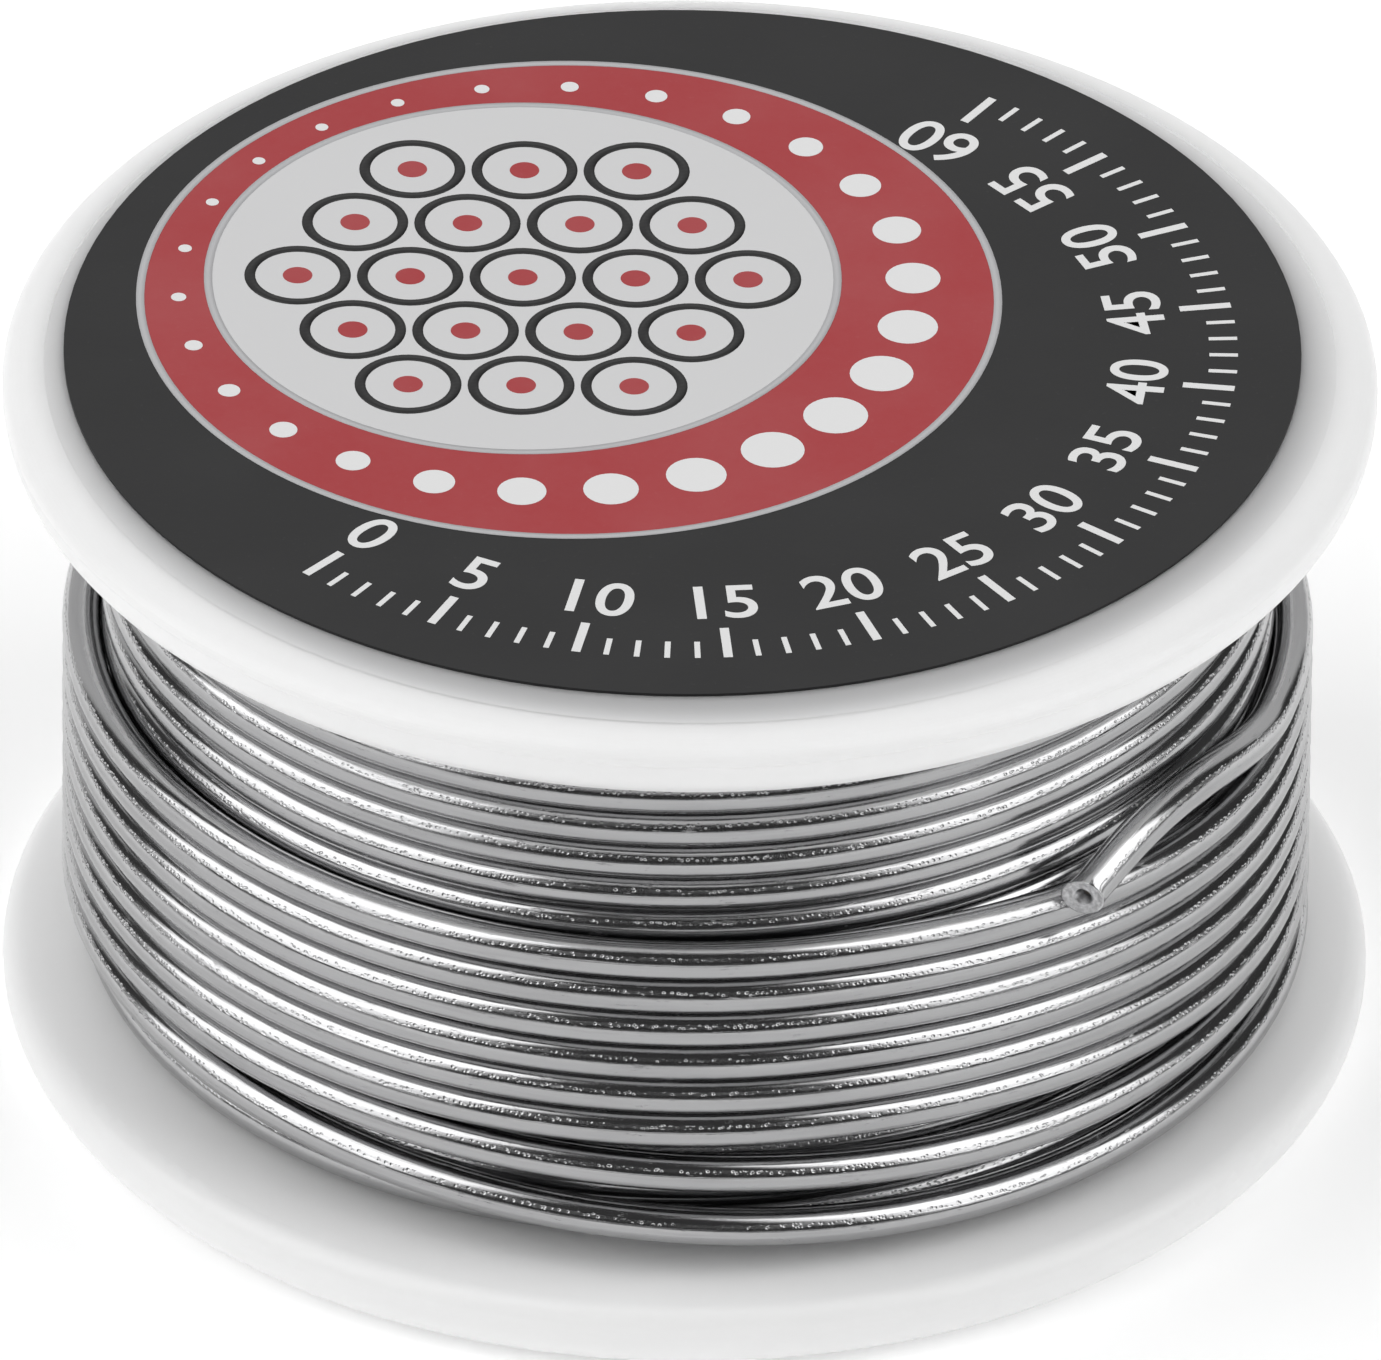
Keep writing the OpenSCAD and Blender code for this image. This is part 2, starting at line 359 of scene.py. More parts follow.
@dataclass(frozen=True)
class DrawnSolder(Finish):
    """Bright tin-lead wire: fine lines from the die, a pitted strip along each turn and dull patches.

    The strip's place is an angle on the wire's section, up from the side that faces outwards. The
    wire's lower side, below the strip, is darker all round the spool, which is painted shade, and a
    little rougher. Angles are in degrees.
    """

    bright: Colour = (0.53, 0.53, 0.535)
    # The dull colour serves tarnish, rubs, lines and the strip, and the painted shade of the lower side.
    dull: Colour = (0.24, 0.24, 0.245)
    gloss: float = 0.11
    strip_angle: float = 34.0
    strip_edge: tuple[float, float] = (8.5, 2.975)
    strip_wander: float = 20.0
    strip_ragged: float = 13.0
    flank_edge: tuple[float, float] = (30.0, 6.0)
    flank_ragged: float = 12.0
    # How far the painted shade darkens the wire's lower side.
    flank_shade: float = 0.40
    flank_rough: float = 0.06
    relief: float = 0.016 * MM
    wander: Waves = Waves(90.0, 2.0, 0.5)
    ragged: Waves = Waves(2600.0, 3.0, 0.65, across=2.4)
    patches: Waves = Waves(230.0, across=0.6)
    pits: Waves = Waves(5600.0, across=4.4)
    lines: Waves = Waves(95.0, across=16.0)
    fine_lines: Waves = Waves(420.0, 2.0, across=42.0)
    rubs: Waves = Waves(700.0, 4.0, 0.7, across=3.2)
    tarnish: Waves = Waves(120.0, 4.0, across=1.1)

    def sockets(self, graph: Graph) -> dict[str, object]:
        """Gives the shader's sockets.

        Args:
            graph: The material's tree.

        Returns:
            A value or a signal for each socket.
        """
        section = graph.node("ShaderNodeAttribute", {"attribute_name": "section"}, None, "Vector")
        along = graph.node("ShaderNodeAttribute", {"attribute_name": "along"}, None, "Fac")
        out, up, _ = graph.split(section)
        angle = up.maths("ARCTAN2", out) * math.degrees(1.0)

        def skin(waves: Waves) -> Signal:
            """Coordinates on the wire's skin, counted in waves."""
            return graph.vector(out * waves.across, up * waves.across, along * waves.scale)

        def streaks(waves: Waves) -> Signal:
            """Noise on the wire's skin."""
            return graph.noise(skin(waves), replace(waves, scale=1.0))

        wander = (streaks(self.wander) - 0.5) * self.strip_wander
        ragged = streaks(self.ragged) - 0.5
        off_strip = (angle - self.strip_angle + wander).maths("ABSOLUTE")
        strip = (off_strip + ragged * self.strip_ragged).ramp(*self.strip_edge)
        # Painted shade: the lower side of every turn is mixed towards the dull colour, and made rougher.
        shaded_flank = (angle + wander + ragged * self.flank_ragged).ramp(*self.flank_edge)
        patches = streaks(self.patches).ramp(0.30, 0.55)
        strip_pits = strip * graph.cells(skin(self.pits)).ramp(0.50, 0.14) * (patches * 0.6 + 0.4)
        lines, fine_lines = streaks(self.lines), streaks(self.fine_lines)
        rubs = streaks(self.rubs).ramp(0.60, 0.74)
        tarnish = streaks(self.tarnish).ramp(0.42, 0.72)
        shade = tarnish * 0.16 + strip * 0.10 + rubs * 0.14 + lines * 0.14 + shaded_flank * self.flank_shade
        rough = lines * 0.07 + strip * 0.14 + rubs * 0.16 + tarnish * 0.04 + shaded_flank * self.flank_rough
        rough = rough + (self.gloss - 0.03)
        height = lines * 0.22 + fine_lines * 0.08 - strip_pits * 1.3 + rubs * fine_lines * 0.4
        return {
            "Base Color": graph.mixed(shade, self.bright, self.dull),
            "Metallic": 1.0,
            "Roughness": rough,
            "Normal": graph.bumped(height, self.relief, 1.0),
        }


@dataclass(frozen=True)
class BrokenFace(Finish):
    """A broken face, whose colour, roughness and relief all follow one noise.

    The colour goes from the low one to the high one between two values of the noise, and the
    roughness is a lowest value and what the noise adds to it.
    """

    low_colour: Colour
    high_colour: Colour
    between: tuple[float, float]
    roughness: tuple[float, float]
    relief: float
    strength: float
    waves: Waves
    metallic: float = 0.0

    def sockets(self, graph: Graph) -> dict[str, object]:
        """Gives the shader's sockets.

        Args:
            graph: The material's tree.

        Returns:
            A value or a signal for each socket.
        """
        broken = graph.noise(graph.place(), self.waves)
        lowest, added = self.roughness
        return {
            "Base Color": graph.mixed(broken.ramp(*self.between), self.low_colour, self.high_colour),
            "Metallic": self.metallic,
            "Roughness": broken * added + lowest,
            "Normal": graph.bumped(broken, self.relief, self.strength),
        }


@dataclass(frozen=True)
class CutSolder(BrokenFace):
    """The torn face of the cut end: dull, rough, with smears from the cutter."""

    low_colour: Colour = (0.42, 0.42, 0.43)
    high_colour: Colour = (0.66, 0.66, 0.67)
    between: tuple[float, float] = (0.35, 0.7)
    roughness: tuple[float, float] = (0.28, 0.25)
    relief: float = 0.05 * MM
    strength: float = 0.9
    waves: Waves = Waves(5200.0, 4.0, 0.65)
    metallic: float = 1.0


@dataclass(frozen=True)
class Rosin(BrokenFace):
    """Dark amber rosin flux with a broken, glassy face."""

    low_colour: Colour = (0.020, 0.013, 0.008)
    high_colour: Colour = (0.075, 0.045, 0.022)
    between: tuple[float, float] = (0.45, 0.8)
    roughness: tuple[float, float] = (0.34, 0.2)
    relief: float = 0.04 * MM
    strength: float = 0.8
    waves: Waves = Waves(6500.0)


@dataclass(frozen=True)
class PlainSheet(Finish):
    """A plain pale matt sheet with an even glow of its own."""

    albedo: float = 0.90
    glow: float = 0.26
    roughness: float = 0.9
    specular: float = 0.1

    def sockets(self, graph: Graph) -> dict[str, object]:
        """Gives the shader's sockets, which are all constants.

        Args:
            graph: The material's tree.

        Returns:
            A value for each socket.
        """
        return {
            "Base Color": (self.albedo, self.albedo, self.albedo, 1.0),
            "Roughness": self.roughness,
            "Specular IOR Level": self.specular,
            "Emission Color": (1.0, 1.0, 1.0, 1.0),
            "Emission Strength": self.glow,
        }


# ---- pieces


def placed(name: str, data: bpy.types.ID) -> bpy.types.Object:
    """Puts a mesh, a text or a camera in the scene as an object at the origin.

    Args:
        name: The object's name.
        data: What it holds, in the spool's frame.

    Returns:
        The object.
    """
    thing = bpy.data.objects.new(name, data)
    bpy.context.scene.collection.objects.link(thing)
    return thing


def hand_over(piece: bpy.types.Object, slot: str, replaced: Sequence[str] = ()) -> None:
    """Gives a finished piece to the frame and reports it.

    Args:
        piece: The piece.
        slot: The record's material slot that its finish matches, which only goes into the log.
        replaced: CAD nodes that it stands for.
    """
    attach(piece, BODY)
    if replaced:
        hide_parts(*replaced)
    LOG.info("%s: %d faces, slot %s", piece.name, len(piece.data.polygons), slot)


def dress_node(node: str, material: bpy.types.Material, slot: str) -> None:
    """Gives a CAD node its material and reports it.

    Args:
        node: The node.
        material: Its material.
        slot: The record's material slot that its finish matches, which only goes into the log.
    """
    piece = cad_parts[node]
    piece.data.materials.clear()
    piece.data.materials.append(material)
    LOG.info("%s: CAD node dressed, slot %s", node, slot)


class Recipe(Graph):
    """A Geometry Nodes tree with named inputs, which is run once on a carrier mesh."""

    def __init__(self, name: str, inputs: dict[str, str]) -> None:
        """Makes the tree's interface.

        Args:
            name: The tree's name.
            inputs: The socket type of each named input, apart from the carrier and the material.
        """
        super().__init__(bpy.data.node_groups.new(name, "GeometryNodeTree"))
        face = self.tree.interface
        given = {"Carrier": "NodeSocketGeometry", **inputs, "Material": "NodeSocketMaterial"}
        for label, kind in given.items():
            face.new_socket(name=label, in_out="INPUT", socket_type=kind)
        face.new_socket(name="Piece", in_out="OUTPUT", socket_type="NodeSocketGeometry")
        self.entry = self.node("NodeGroupInput")

    def given(self, label: str) -> Signal:
        """The signal of a named input."""
        return self.entry.output(label)

    def close(self, made: Signal) -> None:
        """Ends the tree in Realize Instances and Set Material.

        Args:
            made: The geometry.
        """
        real = self.node("GeometryNodeRealizeInstances", None, {"Geometry": made})
        sockets = {"Geometry": real, "Material": self.given("Material")}
        dressed = self.node("GeometryNodeSetMaterial", None, sockets)
        self.node("NodeGroupOutput", None, {0: dressed})

    def run(self, name: str, carrier: bpy.types.Mesh, values: dict[str, object]) -> bpy.types.Object:
        """Runs the tree and keeps its result as a plain mesh.

        Args:
            name: The piece's name.
            carrier: The mesh that the tree starts from.
            values: A value for each named input.

        Returns:
            The piece, at the origin and without modifiers.
        """
        holder = placed(f"{name}_carrier", carrier)
        modifier = holder.modifiers.new("recipe", "NODES")
        modifier.node_group = self.tree
        for item in self.tree.interface.items_tree:
            if item.in_out == "INPUT" and item.name in values:
                modifier[item.identifier] = values[item.name]
        holder.update_tag()
        graph = bpy.context.evaluated_depsgraph_get()
        mesh = bpy.data.meshes.new_from_object(
            holder.evaluated_get(graph), preserve_all_data_layers=True, depsgraph=graph
        )
        mesh.name = name
        bpy.data.objects.remove(holder)
        return placed(name, mesh)


class SweptWire(Recipe):
    """Sweeps the wire's round section along a path, with a slight waver, and marks its skin.

    The mark `section` is the place on the section, X outwards and Y up. `along` is the length.
    """

    def __init__(self) -> None:
        """Builds the tree."""
        floats = dict.fromkeys(("Radius", "Waver", "Waves", "Seed"), "NodeSocketFloat")
        super().__init__("swept_wire", {**floats, "Sides": "NodeSocketInt"})
        path = self.node("GeometryNodeMeshToCurve", None, {"Mesh": self.given("Carrier")})
        length = self.node("GeometryNodeSplineParameter", None, None, "Length")
        at = length * self.given("Waves") + self.given("Seed")
        where = {"W": at, "Scale": 1.0, "Detail": 1.0}
        drift = self.node("ShaderNodeTexNoise", {"noise_dimensions": "1D"}, where, "Color")
        centred = self.node("ShaderNodeVectorMath", {"operation": "SUBTRACT"}, {0: drift, 1: (0.5,) * 3})
        scaled = {0: centred, "Scale": self.given("Waver")}
        offset = self.node("ShaderNodeVectorMath", {"operation": "SCALE"}, scaled)
        moved = self.node("GeometryNodeSetPosition", None, {"Geometry": path, "Offset": offset})
        upright = self.node("GeometryNodeSetCurveNormal", {"mode": "Z_UP"}, {"Curve": moved})
        marks = {"Geometry": upright, "Name": "along", "Value": length}
        marked = self.node("GeometryNodeStoreNamedAttribute", {"data_type": "FLOAT"}, marks)
        ring = {"Resolution": self.given("Sides"), "Radius": self.given("Radius")}
        circle = self.node("GeometryNodeCurvePrimitiveCircle", None, ring)
        turned = self.given("Radius").maths("POWER", -1.0) * -1.0
        scaled = {0: self.node("GeometryNodeInputPosition"), "Scale": turned}
        outward = self.node("ShaderNodeVectorMath", {"operation": "SCALE"}, scaled)
        marks = {"Geometry": circle, "Name": "section", "Value": outward}
        profile = self.node("GeometryNodeStoreNamedAttribute", {"data_type": "FLOAT_VECTOR"}, marks)
        tube = self.node("GeometryNodeCurveToMesh", None, {"Curve": marked, "Profile Curve": profile})
        self.close(self.node("GeometryNodeSetShadeSmooth", None, {"Geometry": tube}))


@dataclass(frozen=True)
class WireRoute:
    """Where the wire runs.

    Angles are in degrees. A wound angle counts from the start of the first full turn, at the back,
    and grows clockwise seen from above.
    """

    spool_h: float
    flange_t: float = 3.0 * MM
    wire_d: float = 1.5 * MM
    winding_d: float = 48.4 * MM
    full_turns: float = 13.6
    outer_turns: int = 8
    outer_pitch: float = 1.55 * MM
    first_rise: float = 2.15 * MM
    top_slack: float = 0.8 * MM
    low_slack: float = 0.7 * MM
    layer_taper: float = 0.18 * MM
    climb_lead: float = 36.0
    climb_span: float = 248.0
    sunk_climb: float = 100.0
    tail_lead: float = 105.0
    spans: tuple[tuple[float, float], ...] = ((45.0, -70.0), (65.0, -40.0), (78.0, 12.0))
    tail_knots: tuple[tuple[float, float, float], ...] = (
        (75.0, 0.0, 0.0),
        (66.0, 0.0, 0.0),
        (54.0, 0.0, 3.05 * MM),
        (41.5, 0.9 * MM, 0.9 * MM),
    )
    tail_rings: int = 30
    tail_end: float = 1.7 * MM

    @property
    def outer_r(self) -> float:
        """Radius that the outermost turns run at."""
        return (self.winding_d - self.wire_d) / 2

    @property
    def full_r(self) -> float:
        """Radius of the full layer under them."""
        return self.outer_r - self.wire_d

    @property
    def top_z(self) -> float:
        """Height of a layer's topmost turn."""
        return self.spool_h - self.flange_t - self.wire_d / 2 - self.top_slack

    @property
    def low_z(self) -> float:
        """Height of a layer's lowest turn."""
        return self.flange_t + self.wire_d / 2 + self.low_slack

    @property
    def full_end(self) -> float:
        """Wound angle at which the full layer ends."""
        return self.full_turns * 360

    @property
    def outer_start(self) -> float:
        """Wound angle at which the outermost layer's first turn starts."""
        return math.ceil(self.full_turns) * 360.0

    @property
    def tail_start(self) -> float:
        """Wound angle at which the free end leaves the winding."""
        return self.outer_start + self.outer_turns * 360 + self.tail_lead

    def outer_level(self, turn: int) -> float:
        """Height that an outer turn settles at.

        Args:
            turn: Which one, from 0. -1 is the end of the full layer, under them.

        Returns:
            The height of the wire's middle.
        """
        if turn < 0:
            return self.low_z
        return self.low_z + self.first_rise + turn * self.outer_pitch

    def height(self, wound: float) -> float:
        """Height of the wire.

        Args:
            wound: The wound angle. Below 0 it is in the layers under the full one.

        Returns:
            The height of its middle.
        """
        if wound < self.full_end:
            swing = abs(wound) % (2 * self.full_end)
            share = min(swing, 2 * self.full_end - swing) / self.full_end
            inset = self.layer_taper * max(0.0, -wound / self.full_end)
            return self.top_z - inset - (self.top_z - self.low_z - 2 * inset) * share
        if wound < self.outer_start:
            return self.low_z
        turn = int((wound - self.outer_start) // 360)
        first, last = self.spans[min(turn, len(self.spans) - 1)]
        azimuth = 180 - wound % 360
        share = eased((first - azimuth) / (first - last))
        return self.outer_level(turn - 1) * (1 - share) + self.outer_level(turn) * share

    def radius(self, wound: float) -> float:
        """Radius of the wire.

        Args:
            wound: The wound angle.

        Returns:
            The distance of its middle from the axis.
        """
        if wound < 0:
            layers = math.floor(wound / self.full_end)
            inner = self.full_r + layers * self.wire_d
            return inner + self.wire_d * eased(1 + wound / self.sunk_climb) * (layers == -1)
        t = (wound - self.full_end + self.climb_lead) / self.climb_span
        return self.full_r + self.wire_d * math.sin(math.pi / 2 * min(1.0, max(0.0, t)))

    def wound(self, start: float, end: float, step: float) -> Iterator[Vector]:
        """Points along the winding.

        Args:
            start: Wound angle of the first point.
            end: Wound angle of the last.
            step: Angle between points.

        Yields:
            The points.
        """
        count = round((end - start) / step)
        for i in range(count + 1):
            w = start + (end - start) * i / count
            yield around(self.radius(w), 180 - w % 360, self.height(w))

    def tail(self) -> Iterator[Vector]:
        """Points along the free end, up to where its cut end begins.

        Yields:
            The points.
        """
        level = self.outer_level(self.outer_turns - 1)
        for i in range(1, self.tail_rings + 1):
            t = i / self.tail_rings
            weights = ((1 - t) ** 3, 3 * (1 - t) ** 2 * t, 3 * (1 - t) * t * t, t**3)
            azimuth, out, rise = (
                sum(w * knot[k] for w, knot in zip(weights, self.tail_knots)) for k in range(3)
            )
            yield around(self.outer_r + out, azimuth, level + rise)


def path_mesh(name: str, points: Sequence[Vector]) -> bpy.types.Mesh:
    """Makes a mesh of one open chain of edges.

    Args:
        name: The mesh's name.
        points: The chain's points.

    Returns:
        The mesh.
    """
    mesh = bpy.data.meshes.new(name)
    mesh.from_pydata(points, [(i, i + 1) for i in range(len(points) - 1)], [])
    return mesh


@dataclass
class Winding:
    """The solder wire: two buried layers, the full layer, the outermost turns and the cut end."""

    route: WireRoute
    sides: int = 24
    step: float = 3.0
    buried_layers: int = 2
    buried_start: float = 1.0
    buried_sides: int = 10
    buried_step: float = 6.0
    overlap: float = 180.0
    waver: float = 0.045 * MM
    waver_waves: float = 75.0
    waver_seed: float = 3.0
    cut_l: float = 0.95 * MM
    tear: float = 0.018 * MM
    tear_waves: float = 2200.0
    noise_seed: int = 7
    flux_r: float = 0.27 * MM
    flux_past: float = 0.30 * MM
    flux_sides: tuple[int, int] = (28, 16)
    flux_relief: float = 0.03 * MM
    flux_waves: float = 3500.0
    finish: Finish = DrawnSolder()
    material: bpy.types.Material = field(init=False)
    sweep: SweptWire = field(init=False)

    # How the section changes towards the cutter's nip: way past the last ring in mm, width, height
    nip: tuple[tuple[float, float, float], ...] = (
        (0.30, 1.00, 1.00),
        (0.50, 1.03, 0.98),
        (0.66, 1.09, 0.95),
        (0.78, 1.15, 0.92),
        (0.85, 1.19, 0.90),
        (0.88, 1.17, 0.87),
        (0.87, 1.08, 0.80),
        (0.83, 0.93, 0.70),
        (0.81, 0.73, 0.58),
        (0.84, 0.57, 0.49),
        (0.79, 0.46, 0.42),
        (0.60, 0.38, 0.36),
        (0.30, 0.36, 0.34),
    )
    first_torn: int = 5
    nip_slant: tuple[float, float] = (0.30, -0.42)

    def build(self) -> None:
        """Makes the winding's pieces and hands them over. The seed gives every run the same noise."""
        noise.seed_set(self.noise_seed)
        self.material = surface("drawn_solder", self.finish)
        self.sweep = SweptWire()
        self._buried()
        self._visible()

    def _swept(self, name: str, points: Sequence[Vector], sides: int) -> bpy.types.Object:
        """Sweeps the wire along a path.

        Args:
            name: The piece's name.
            points: The path.
            sides: Corners of the wire's section.

        Returns:
            The piece.
        """
        values = {
            "Radius": self.route.wire_d / 2,
            "Sides": sides,
            "Waver": self.waver,
            "Waves": self.waver_waves,
            "Seed": self.waver_seed,
            "Material": self.material,
        }
        return self.sweep.run(name, path_mesh(f"{name}_path", points), values)

    def _buried(self) -> None:
        """Makes the two layers under the full one."""
        start = self.buried_start - self.buried_layers * self.route.full_end
        points = list(self.route.wound(start, -self.overlap, self.buried_step))
        piece = self._swept("buried_turns", points, self.buried_sides)
        hand_over(piece, "solder", ["inner_windings"])

    def _visible(self) -> None:
        """Makes the turns that show, with the free end."""
        wound = list(self.route.wound(-self.overlap, self.route.tail_start, self.step))
        points = wound + list(self.route.tail())
        way = (points[-1] - points[-2]).normalized()
        points.append(points[-1] + way * (self.route.tail_end - self.cut_l))
        piece = self._swept("wound_wire", points, self.sides)
        piece.data.materials.append(surface("cut_solder", CutSolder()))
        self._cut_end(piece.data, points[-1], way)
        hand_over(piece, "solder", ["solder_wire"])
        self._flux(points[-1], way)

    def _cut_end(self, mesh: bpy.types.Mesh, last: Vector, way: Vector) -> None:
        """Grows the nipped end out of the tube's open end.

        Args:
            mesh: The wire's mesh.
            last: Middle of its last ring.
            way: The way that the wire runs there.
        """
        bm = bmesh.new()
        bm.from_mesh(mesh)
        near = self.route.wire_d
        loop = [e for e in bm.edges if e.is_boundary and (e.verts[0].co - last).length < near]
        rest = {v: v.co - last for e in loop for v in e.verts}
        side = way.cross(Vector((0, 0, 1))).normalized()
        up = side.cross(way)
        for number, (forward, wide, high) in enumerate(self.nip):
            made = bmesh.ops.extrude_edge_only(bm, edges=loop)["geom"]
            ring = [v for v in made if isinstance(v, bmesh.types.BMVert)]
            starts = {v.co.to_tuple(9): start for v, start in rest.items()}
            rest = {v: starts[v.co.to_tuple(9)] for v in ring}
            for vert, start in rest.items():
                across, above = start.dot(side) * wide, start.dot(up) * high
                slant = across * self.nip_slant[0] + above * self.nip_slant[1]
                reach = forward * MM + slant * min(1.0, forward)
                spot = last + side * across + up * above + way * reach
                torn = noise.noise_vector(spot * self.tear_waves) * self.tear * min(1.0, forward)
                vert.co = spot + torn
            loop = [e for e in made if isinstance(e, bmesh.types.BMEdge)]
            loop = [e for e in loop if e.is_boundary]
            for face in (f for e in loop for f in e.link_faces):
                face.material_index = int(number >= self.first_torn)
                face.smooth = True
        bmesh.ops.recalc_face_normals(bm, faces=bm.faces)
        bm.to_mesh(mesh)
        bm.free()

    def _flux(self, last: Vector, way: Vector) -> None:
        """Makes the rosin that shows down the cut end.

        Args:
            last: Middle of the tube's last ring.
            way: The way that the wire runs there.
        """
        bm = bmesh.new()
        turn = way.to_track_quat("Z", "Y").to_matrix().to_4x4()
        place = Matrix.Translation(last + way * self.flux_past) @ turn
        round_way, long_way = self.flux_sides
        bmesh.ops.create_uvsphere(
            bm, u_segments=round_way, v_segments=long_way, radius=self.flux_r, matrix=place
        )
        for vert in bm.verts:
            vert.co += noise.noise_vector(vert.co * self.flux_waves) * self.flux_relief
        for face in bm.faces:
            face.smooth = True
        mesh = bpy.data.meshes.new("rosin_core")
        bm.to_mesh(mesh)
        bm.free()
        mesh.materials.append(surface("rosin", Rosin()))
        hand_over(placed("rosin_core", mesh), "rosin", ["flux_core"])


@dataclass
class SpoolHalves:
    """The two moulded halves."""

    finish: Finish = MouldedPlastic()

    def build(self) -> None:
        """Dresses the halves."""
        material = surface("moulded_plastic", self.finish)
        for node in ("lower_half", "upper_half"):
            dress_node(node, material, "spool_plastic")


class Mark(Enum):
    """Shapes that the label's repeated marks have."""

    BAR = "bar"
    DOT = "dot"
    RING = "ring"


@dataclass(frozen=True)
class Spot:
    """Where one printed mark lies, how it is turned and how large it is."""

    x: float
    y: float
    turn: float = 0.0
    length: float = 1.0
    width: float = 1.0


class PrintedMarks(Recipe):
    """Sets one mark on every point of its carrier, turned and stretched as the point says."""

    def __init__(self, mark: Mark, sides: int) -> None:
        """Builds the tree.

        Args:
            mark: The shape of the marks.
            sides: Corners of a round one.
        """
        inputs = dict.fromkeys(("Size", "Line", "Depth"), "NodeSocketFloat")
        super().__init__(f"printed_{mark.value}", inputs)
        turn = self.node("GeometryNodeInputNamedAttribute", {"data_type": "FLOAT"}, {"Name": "turn"})
        stretch = self.node(
            "GeometryNodeInputNamedAttribute", {"data_type": "FLOAT_VECTOR"}, {"Name": "stretch"}
        )
        sockets = {
            "Points": self.given("Carrier"),
            "Instance": self._shape(mark, sides),
            "Rotation": self.vector(0.0, 0.0, turn),
            "Scale": stretch,
        }
        self.close(self.node("GeometryNodeInstanceOnPoints", None, sockets))

    def _shape(self, mark: Mark, sides: int) -> Signal:
        """One mark at the origin.

        Args:
            mark: Its shape.
            sides: Corners of a round one.

        Returns:
            The mark's geometry.
        """
        size, depth = self.given("Size"), self.given("Depth")
        if mark is Mark.BAR:
            return self.node("GeometryNodeMeshCube", None, {"Size": self.vector(size, size, depth)})
        if mark is Mark.DOT:
            sockets = {"Vertices": sides, "Radius": size * 0.5, "Depth": depth}
            return self.node("GeometryNodeMeshCylinder", None, sockets)
        sockets = {"Resolution": sides, "Radius": size * 0.5}
        circle = self.node("GeometryNodeCurvePrimitiveCircle", None, sockets)
        level = self.node("GeometryNodeSetCurveNormal", {"mode": "Z_UP"}, {"Curve": circle})
        sockets = {"Width": self.given("Line"), "Height": depth}
        section = self.node("GeometryNodeCurvePrimitiveQuadrilateral", None, sockets)
        return self.node("GeometryNodeCurveToMesh", None, {"Curve": level, "Profile Curve": section})


def marks_mesh(name: str, spots: Sequence[Spot], middle: Vector) -> bpy.types.Mesh:
    """Makes the carrier that a field of marks is set on.

    Args:
        name: The mesh's name.
        spots: The marks' places.
        middle: What the places count from, halfway up the marks.

    Returns:
        The carrier, one point for each mark.
    """
    mesh = bpy.data.meshes.new(name)
    mesh.from_pydata([(middle.x + s.x, middle.y + s.y, middle.z) for s in spots], [], [])
    turns = mesh.attributes.new("turn", "FLOAT", "POINT")
    stretches = mesh.attributes.new("stretch", "FLOAT_VECTOR", "POINT")
    for i, spot in enumerate(spots):
        turns.data[i].value = spot.turn
        stretches.data[i].vector = (spot.length, spot.width, 1.0)
    return mesh


